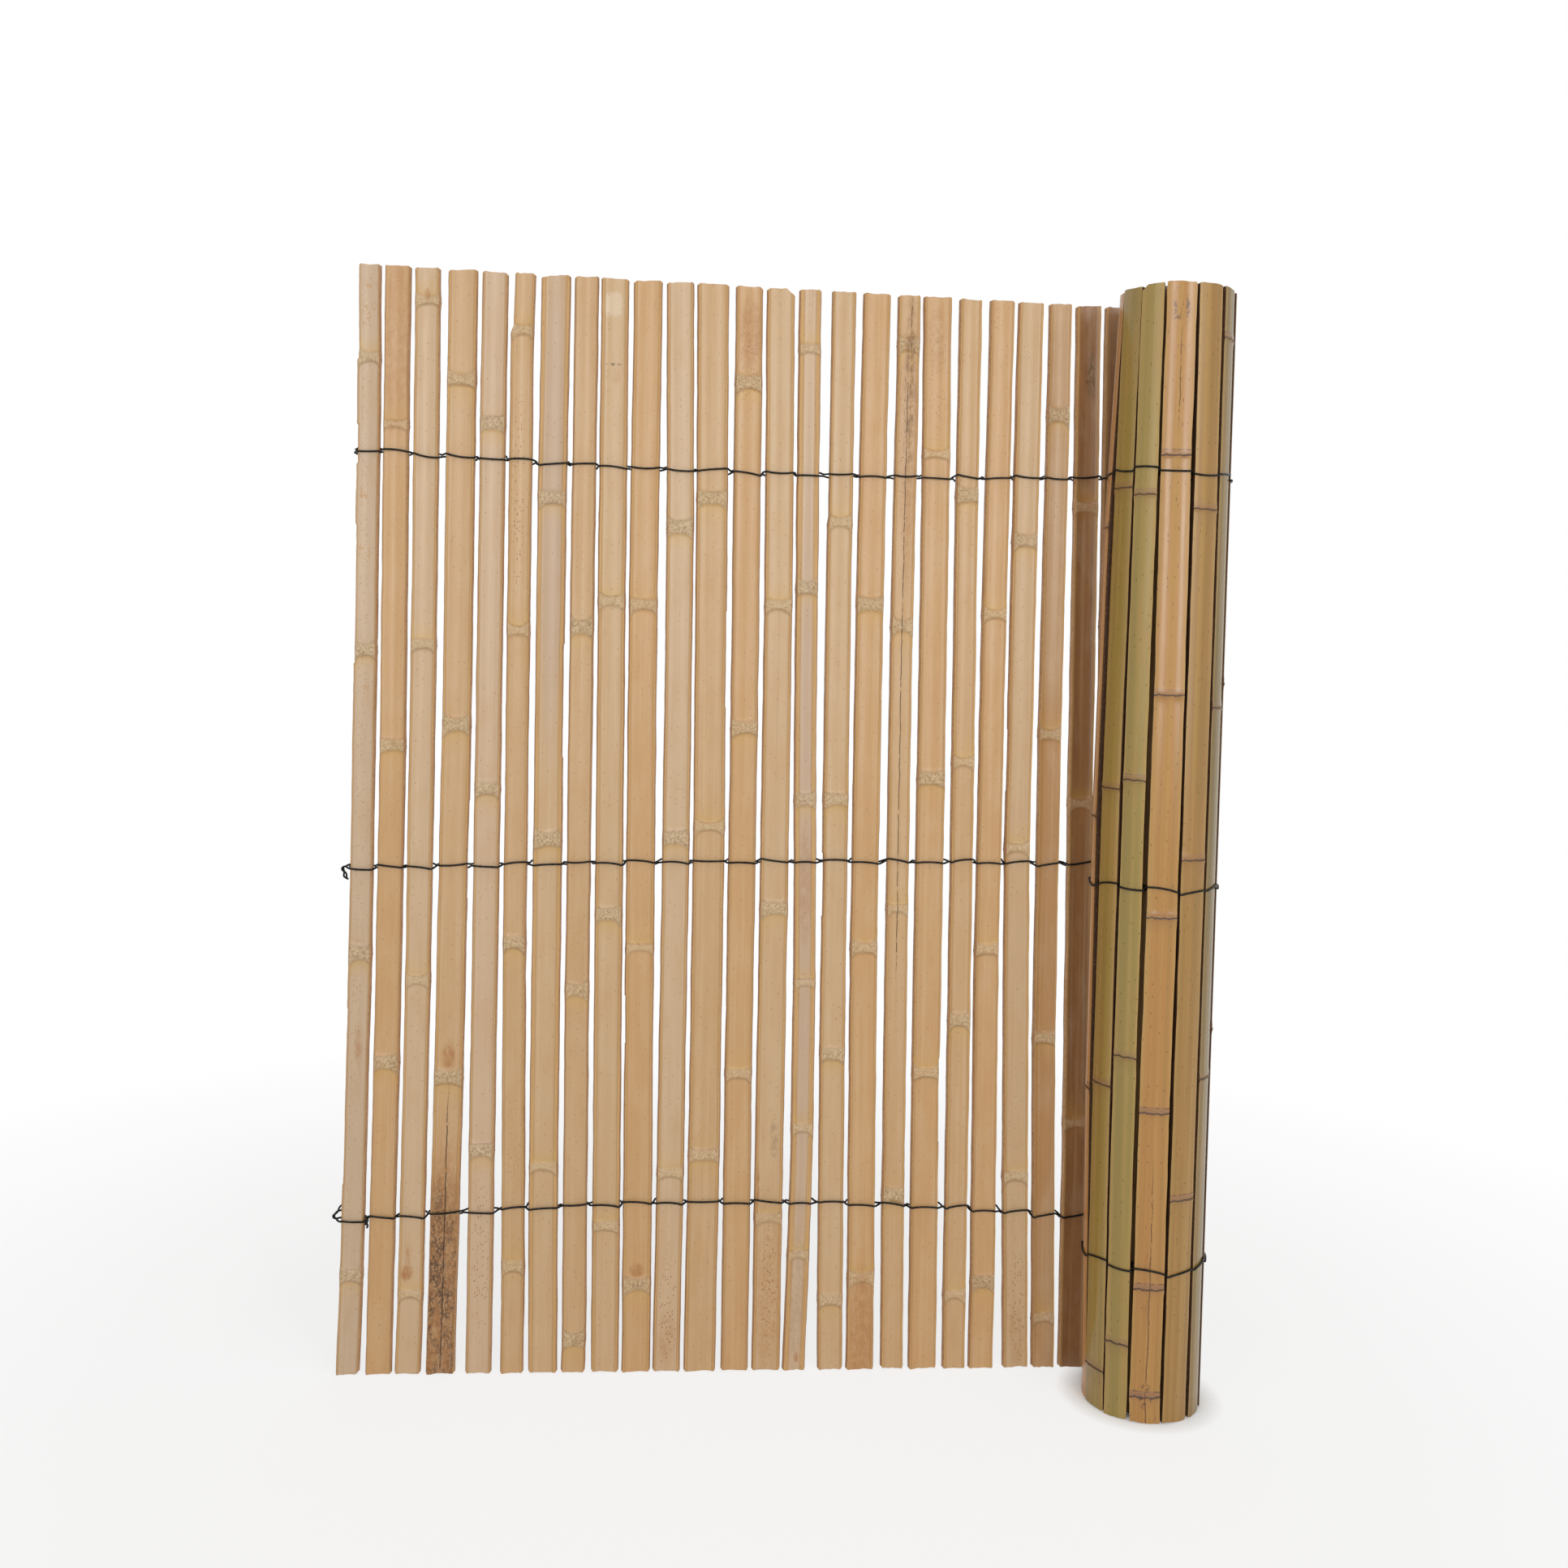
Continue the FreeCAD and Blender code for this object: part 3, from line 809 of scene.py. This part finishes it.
class Shader:
    """Adds nodes to a material or world, with short calls for the kinds used here."""

    def __init__(self, name, family=bpy.data.materials, surface="Principled BSDF"):
        self.owner = family.new(name)
        self.owner.use_nodes = True
        self.tree = self.owner.node_tree
        self.surface = self.tree.nodes[surface]

    def set(self, node, place, value):
        if isinstance(value, bpy.types.NodeSocket):
            self.tree.links.new(value, node.inputs[place])
        else:
            node.inputs[place].default_value = value

    def put(self, place, value):
        self.set(self.surface, place, value)

    def node(self, kind, inputs=(), **settings):
        node = self.tree.nodes.new(kind)
        for name, value in settings.items():
            setattr(node, name, value)
        for place, value in inputs:
            self.set(node, place, value)
        return node

    def read(self, name, output="Fac"):
        """What is stored on the points of the mesh."""
        return self.node("ShaderNodeAttribute", attribute_name=name).outputs[output]

    def math(self, operation, first, second=0.0):
        node = self.node("ShaderNodeMath", [(0, first), (1, second)], operation=operation)
        return node.outputs[0]

    def times(self, first, second):
        return self.math("MULTIPLY", first, second)

    def remap(self, value, low, high, to_low=0.0, to_high=1.0):
        places = [("Value", value), (1, low), (2, high), (3, to_low), (4, to_high)]
        return self.node("ShaderNodeMapRange", places).outputs[0]

    def stretch(self, vector, scale):
        node = self.node("ShaderNodeVectorMath", [(0, vector), (1, scale)], operation="MULTIPLY")
        return node.outputs[0]

    def noise(self, vector, detail=3.0, roughness=0.55):
        places = [("Vector", vector), ("Scale", 1.0), ("Detail", detail), ("Roughness", roughness)]
        return self.node("ShaderNodeTexNoise", places).outputs[0]

    def fibres(self, grain, across, along, detail=3.0, roughness=0.55):
        """Noise in the slat's own place, so many waves to the metre across and along it."""
        return self.noise(self.stretch(grain, (across, 1.0, along)), detail, roughness)

    def dots(self, grain, across, along, size, share):
        """Round dots in a random share of the cells."""
        cell = self.stretch(grain, (across, 1.0, along))
        parts = self.node("ShaderNodeSeparateXYZ", [(0, cell)]).outputs
        side = self.math("ADD", parts[0], self.times(parts[1], 7.3))
        flat = self.node("ShaderNodeCombineXYZ", [(0, side), (1, parts[2])]).outputs[0]
        places = [("Vector", flat), ("Scale", 1.0)]
        cells = self.node("ShaderNodeTexVoronoi", places, voronoi_dimensions="2D")
        round_dot = self.remap(cells.outputs["Distance"], size, size * 0.5)
        picked = self.node("ShaderNodeSeparateColor", [(0, cells.outputs["Color"])]).outputs[0]
        return self.times(round_dot, self.remap(picked, share, share - 0.05))

    def mix(self, share, first, second, blend="MIX"):
        places = [(0, share), (6, first), (7, second)]
        return self.node("ShaderNodeMix", places, data_type="RGBA", blend_type=blend).outputs[2]

    def mark(self, colour, name, spots, tint):
        """A colour with a stored mark painted over it in spots."""
        return self.mix(self.times(self.read(name), spots), colour, tint)

    def bump(self, height, strength, distance):
        places = [("Height", height), ("Strength", strength), ("Distance", distance)]
        self.put("Normal", self.node("ShaderNodeBump", places).outputs[0])

    def paint(self, colour, roughness, shine):
        self.put("Base Color", colour)
        self.put("Roughness", roughness)
        self.put("Specular IOR Level", shine)
        return self.owner

    def line_at(self, value, place, half_width):
        """Mask of a thin line where a value passes a place."""
        away = self.math("ABSOLUTE", self.math("SUBTRACT", value, place))
        return self.remap(away, half_width, half_width * 0.3)


def crack_mask(s, grain):
    """Thin wavering line along a cracked slat."""
    waver = s.fibres(grain, 0, 60, 2)
    place = s.math("ADD", s.read("crack_at"), s.remap(waver, 0.3, 0.7, -0.05, 0.05))
    line = s.line_at(s.read("across"), place, 0.055)
    broken = s.remap(s.fibres(grain, 0, 130, 2), 0.32, 0.46)
    return s.times(s.times(line, broken), s.read("crack"))


def inner_material():
    """Pith side: pale satin wood with fine fibres, rough nodes, specks and stains."""
    s = Shader("bamboo_inner_face")
    grain = s.read("grain", "Vector")
    fibre = s.fibres(grain, 1500, 14, 4, 0.6)
    streak = s.fibres(grain, 260, 3, 2)
    cloud = s.fibres(grain, 70, 22, 3)
    fine = s.fibres(grain, 900, 700, 3, 0.7)
    colour = s.read("inner_tone", "Color")
    colour = s.mix(s.remap(fibre, 0.45, 0.75, 0.0, 0.16), colour, rgb(162, 122, 82))
    colour = s.mix(s.remap(streak, 0.48, 0.68, 0.0, 0.22), colour, rgb(216, 190, 154))
    colour = s.mix(s.remap(cloud, 0.5, 0.72, 0.0, 0.24), colour, rgb(190, 144, 92))
    colour = s.mix(s.remap(cloud, 0.5, 0.3, 0.0, 0.2), colour, rgb(208, 182, 148))
    colour = s.mix(s.remap(fine, 0.55, 0.75, 0.0, 0.25), colour, rgb(156, 122, 90))
    # Pale marks: painted sheen and painted highlight on slat 9, lighter parts of slat 23.
    colour = s.mix(s.read("pale"), colour, rgb(220, 202, 174))
    colour = s.mix(s.read("grey"), colour, rgb(182, 158, 140))
    shoulder = s.read("shoulder")
    strip = s.mix(s.remap(fibre, 0.4, 0.65), rgb(205, 163, 104), rgb(184, 138, 82))
    colour = s.mix(s.times(shoulder, 0.85), colour, strip)
    rim = s.line_at(shoulder, 0.5, 0.45)
    colour = s.mix(s.times(rim, 0.3), colour, rgb(150, 112, 74))
    colour = s.mark(colour, "tint", 0.55, rgb(202, 162, 94))
    band = s.read("band")
    rough = s.fibres(grain, 520, 520, 4, 0.7)
    pitted = s.mix(s.read("variety"), rgb(188, 154, 110), rgb(134, 110, 74))
    band_colour = s.mix(s.remap(rough, 0.36, 0.6), pitted, rgb(214, 190, 154))
    colour = s.mix(s.times(band, 0.68), colour, band_colour)
    torn = s.times(s.read("lip"), s.remap(rough, 0.44, 0.58))
    colour = s.mix(s.times(torn, 0.7), colour, rgb(108, 78, 50))
    # Painted shade along the arched lower edge of each node band.
    colour = s.mark(colour, "shade_arch", s.remap(rough, 0.3, 0.5, 0.35, 0.6), rgb(146, 110, 68))
    blotch = s.fibres(grain, 260, 140, 4, 0.65)
    colour = s.mark(colour, "stain", s.remap(blotch, 0.3, 0.62, 0.2, 1.0), rgb(170, 116, 66))
    spotted = s.fibres(grain, 620, 380, 3, 0.6)
    colour = s.mark(colour, "rust", s.remap(spotted, 0.5, 0.62, 0.0, 0.85), rgb(186, 134, 76))
    colour = s.mark(colour, "smudge", s.remap(blotch, 0.4, 0.62), rgb(100, 80, 54))
    mottle = s.fibres(grain, 520, 330, 5, 0.75)
    patch = s.fibres(grain, 90, 45, 3)
    mottled = s.remap(mottle, 0.4, 0.58, 0.0, 0.95)
    mottled = s.times(mottled, s.remap(patch, 0.32, 0.56, 0.25, 1.0))
    colour = s.mark(colour, "mould", mottled, rgb(72, 52, 40))
    specks = s.dots(grain, 420, 260, 0.24, 0.35)
    colour = s.mark(colour, "fleck", specks, rgb(140, 88, 50))
    stray = s.dots(grain, 170, 90, 0.075, 0.3)
    colour = s.mix(s.times(stray, 0.75), colour, rgb(140, 98, 62))
    colour = s.mix(crack_mask(s, grain), colour, rgb(52, 34, 22))
    worn = s.math("MAXIMUM", band, s.times(shoulder, 0.8))
    s.bump(s.math("ADD", s.times(fibre, 0.22), s.times(rough, band)), 0.35, 0.4 * MM)
    return s.paint(colour, s.remap(worn, 0.0, 1.0, 0.3, 0.62), 0.38)


def skin_material():
    """Outer skin: waxy, streaked along, with scar lines and a pinkish ring at each node."""
    s = Shader("bamboo_skin")
    grain = s.read("grain", "Vector")
    node = s.read("node")
    streak = s.fibres(grain, 900, 7, 4, 0.6)
    wide = s.fibres(grain, 150, 1.6, 2)
    cloud = s.fibres(grain, 40, 9, 3)
    colour = s.read("skin_tone", "Color")
    colour = s.mix(s.remap(streak, 0.45, 0.75, 0.0, 0.3), colour, rgb(136, 106, 60))
    colour = s.mix(s.remap(wide, 0.45, 0.65, 0.0, 0.4), colour, rgb(190, 154, 90))
    colour = s.mix(s.remap(wide, 0.45, 0.3, 0.0, 0.3), colour, rgb(142, 120, 66))
    colour = s.mix(s.remap(cloud, 0.5, 0.75, 0.0, 0.35), colour, rgb(178, 128, 76))
    edge = s.remap(s.math("ABSOLUTE", s.read("across")), 0.72, 1.0, 0.0, 0.45)
    colour = s.mix(edge, colour, rgb(184, 148, 84))
    blotch = s.fibres(grain, 300, 160, 4, 0.65)
    colour = s.mark(colour, "stain", s.remap(blotch, 0.35, 0.6), rgb(150, 100, 56))
    colour = s.mark(colour, "smudge", s.remap(blotch, 0.5, 0.56), rgb(84, 58, 40))
    specks = s.dots(grain, 150, 60, 0.07, 0.35)
    colour = s.mix(s.times(specks, 0.85), colour, rgb(84, 58, 36))
    dashes = s.dots(grain, 330, 70, 0.16, 0.2)
    dashes = s.times(dashes, s.remap(s.read("fleck"), 0.0, 1.0, 0.25, 0.9))
    colour = s.mix(dashes, colour, rgb(96, 64, 40))
    variety = s.read("variety")
    ring = s.times(s.remap(node, -1.5 * MM, -0.5 * MM), s.remap(node, 5.5 * MM, 3.5 * MM))
    ring = s.times(ring, s.remap(variety, 0.2, 1.0, 0.35, 0.75))
    marked = s.mix(ring, colour, rgb(150, 110, 80))
    dim = s.times(s.remap(node, -16.0 * MM, -1.0 * MM), s.remap(node, 0.5 * MM, -1.0 * MM))
    dim = s.times(dim, s.remap(variety, 0.8, 0.2, 0.1, 0.35))
    marked = s.mix(dim, marked, rgb(138, 100, 60))
    waver = s.fibres(grain, 260, 0, 2)
    scar_at = s.remap(waver, 0.3, 0.7, -1.4 * MM, -0.2 * MM)
    halo = s.line_at(node, scar_at, 2.6 * MM)
    halo_share = s.times(halo, s.remap(blotch, 0.35, 0.6, 0.1, 0.45))
    marked = s.mix(halo_share, marked, rgb(116, 82, 54))
    scar = s.line_at(node, scar_at, 0.95 * MM)
    scar = s.times(scar, s.remap(blotch, 0.3, 0.5, 0.65, 1.0))
    marked = s.mix(scar, marked, rgb(58, 38, 28))
    upper = s.times(s.line_at(node, 4.2 * MM, 0.7 * MM), s.remap(waver, 0.42, 0.55, 0.15, 0.8))
    marked = s.mix(s.times(upper, s.remap(variety, 0.35, 0.65)), marked, rgb(96, 64, 44))
    near = s.read("near")
    colour = s.mix(near, colour, marked)
    colour = s.mix(s.times(crack_mask(s, grain), 0.8), colour, rgb(84, 56, 32))
    dull = s.times(s.times(halo, near), 0.35)
    s.bump(streak, 0.12, 0.3 * MM)
    return s.paint(colour, s.math("ADD", s.remap(cloud, 0.3, 0.7, 0.17, 0.25), dull), 0.48)


def edge_material():
    """Split sides and sawn ends: yellowish fibres, darkest at the skin; on rolled slats the split sides
    carry painted shade for the gaps.
    """
    s = Shader("bamboo_cut_wood")
    grain = s.read("grain", "Vector")
    inward = s.read("inward")
    fibre = s.fibres(grain, 600, 40, 4, 0.7)
    split = s.read("edge_tone_and_gap_shade", "Color")
    split = s.mix(s.remap(fibre, 0.4, 0.75, 0.0, 0.5), split, rgb(196, 160, 120), "MULTIPLY")
    sawn = s.mix(s.remap(fibre, 0.35, 0.7), rgb(160, 114, 68), rgb(204, 160, 102))
    facing = s.node("ShaderNodeNewGeometry").outputs["Normal"]
    upright = s.math("ABSOLUTE", s.node("ShaderNodeSeparateXYZ", [(0, facing)]).outputs[2])
    colour = s.mix(s.remap(upright, 0.4, 0.7), split, sawn)
    colour = s.mix(s.remap(inward, 0.3, 0.0, 0.0, 0.75), colour, rgb(92, 62, 40))
    pores = s.dots(grain, 1500, 200, 0.3, 0.6)
    colour = s.mix(s.times(pores, 0.45), colour, rgb(120, 82, 46))
    s.bump(fibre, 0.5, 0.4 * MM)
    return s.paint(colour, 0.7, 0.3)


def wire_material():
    """Dark annealed wire with a dull shine."""
    s = Shader("annealed_wire")
    place = s.node("ShaderNodeTexCoord").outputs["Object"]
    wear = s.noise(s.stretch(place, (300.0, 300.0, 300.0)), 3.0)
    colour = s.mix(s.remap(wear, 0.4, 0.7), rgb(22, 22, 21), rgb(48, 46, 42))
    s.put("Metallic", 0.6)
    return s.paint(colour, s.remap(wear, 0.35, 0.7, 0.26, 0.46), 0.2)


# Stage


def seen_directly(s):
    """One where a ray comes from the camera, a mirror-like surface or through a clear one."""
    path = s.node("ShaderNodeLightPath").outputs
    seen = s.math("MAXIMUM", path["Is Camera Ray"], path["Is Glossy Ray"])
    return s.math("MAXIMUM", seen, path["Is Transmission Ray"])


def roll_centre(slats):
    """Middle of the roll's foot, from its slats."""
    feet = [slat.foot for slat in slats if not slat.flat]
    return (np.min(feet, axis=0) + np.max(feet, axis=0)) / 2


def floor_piece(slats):
    """Large pale floor with the shadow near the mat, white to the eye further away."""
    s = Shader("pale_floor")
    s.paint(rgb(244, 244, 242), 0.9, 0.0)
    place = s.node("ShaderNodeTexCoord").outputs["Object"]
    distance = s.node("ShaderNodeVectorMath", [(0, place)], operation="LENGTH").outputs["Value"]
    far = s.remap(distance, FLOOR_WHITE_FROM, FLOOR_WHITE_AT, FLOOR_WHITE_NEAR, 1.0)
    places = [(0, place), (1, roll_centre(slats))]
    from_roll = s.node("ShaderNodeVectorMath", places, operation="DISTANCE")
    outside = s.remap(from_roll.outputs["Value"], ROLL_SHADE, ROLL_SHADE_END)
    far = s.times(s.times(far, outside), seen_directly(s))
    glow = s.node("ShaderNodeEmission", [("Strength", 1.0)])
    both = s.node("ShaderNodeMixShader", [(0, far), (1, s.surface.outputs[0]), (2, glow.outputs[0])])
    s.set(s.tree.nodes["Material Output"], "Surface", both.outputs[0])
    mesh = bpy.data.meshes.new("floor")
    corners = [(x * FLOOR_HALF, y * FLOOR_HALF, 0) for x, y in ((-1, -1), (1, -1), (1, 1), (-1, 1))]
    mesh.from_pydata(corners, [], [(0, 1, 2, 3)])
    mesh.materials.append(s.owner)
    floor = add_object("floor", mesh)


def white_world():
    """Even light from all round, white where the camera looks past the floor."""
    s = Shader("studio", bpy.data.worlds, "Background")
    bpy.context.scene.world = s.owner
    s.put("Color", (1, 1, 1, 1))
    s.put("Strength", s.remap(seen_directly(s), 0.0, 1.0, WORLD_LIGHT, 1.0))


def soft_box(name, place, aim, width, height, power):
    light = bpy.data.lights.new(name, "AREA")
    light.shape = "RECTANGLE"
    light.size = width
    light.size_y = height
    light.energy = power
    lamp = add_object(name, light)
    lamp.location = place
    lamp.rotation_euler = (Vector(aim) - Vector(place)).to_track_quat("-Z", "Y").to_euler()


def photo_camera(first):
    """Camera at the photograph's place, turned a little to the right and rolled."""
    camera = bpy.data.cameras.new("photo_camera")
    camera.sensor_width = SENSOR_WIDTH
    camera.lens = SENSOR_WIDTH * FOCAL_PIXELS / PHOTO_SIDE
    camera.shift_y = (HORIZON_PIXEL - PHOTO_SIDE / 2) / PHOTO_SIDE
    viewer = add_object("photo_camera", camera)
    middle = Vector(first.axis_point(first.length / 2))
    place = middle + CAMERA_FROM_FIRST_SLAT
    place.z = CAMERA_HEIGHT
    ahead = Vector((math.sin(CAMERA_YAW), math.cos(CAMERA_YAW), 0))
    level = Vector((math.cos(CAMERA_YAW), -math.sin(CAMERA_YAW), 0))
    up = Vector((0, 0, 1))
    right = level * math.cos(CAMERA_ROLL) + up * math.sin(CAMERA_ROLL)
    top = up * math.cos(CAMERA_ROLL) - level * math.sin(CAMERA_ROLL)
    viewer.matrix_world = Matrix.Translation(place) @ Matrix((right, top, -ahead)).transposed().to_4x4()
    bpy.context.scene.camera = viewer


def build():
    flat_names, rolled_names, wire_names = (
        sorted(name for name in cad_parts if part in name)
        for part in ("flat_slat", "rolled_slat", "_wire_")
    )
    materials = [skin_material(), edge_material(), inner_material()]
    slats = []
    for number, node in enumerate(flat_names, 1):
        inner, skin, hollow = FLAT_LOOKS[number - 1]
        slat = Slat(node, number)
        slats.append(slat)
        piece = slat_piece(slat, INNER_TONES[inner], SKIN_TONES[skin], hollow, materials)
        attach(piece, "root")
        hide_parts(node)
    for number, node in enumerate(rolled_names, 1):
        tone = ROLLED_TONES[number - 1] if number <= len(ROLLED_TONES) else "shaded"
        slat = Slat(node, number)
        slats.append(slat)
        piece = slat_piece(slat, INNER_TONES["tan"], SKIN_TONES[tone], ROLLED_HOLLOW, materials)
        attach(piece, "root")
        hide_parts(node)
    wire = wire_material()
    for node in wire_names:
        piece = wire_piece(node, slats, wire)
        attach(piece, "root")
        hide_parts(node)
    return slats


slats = build()
floor_piece(slats)
white_world()
for box in SOFT_BOXES:
    soft_box(*box)
photo_camera(slats[0])
bpy.context.scene.view_settings.view_transform = "Standard"
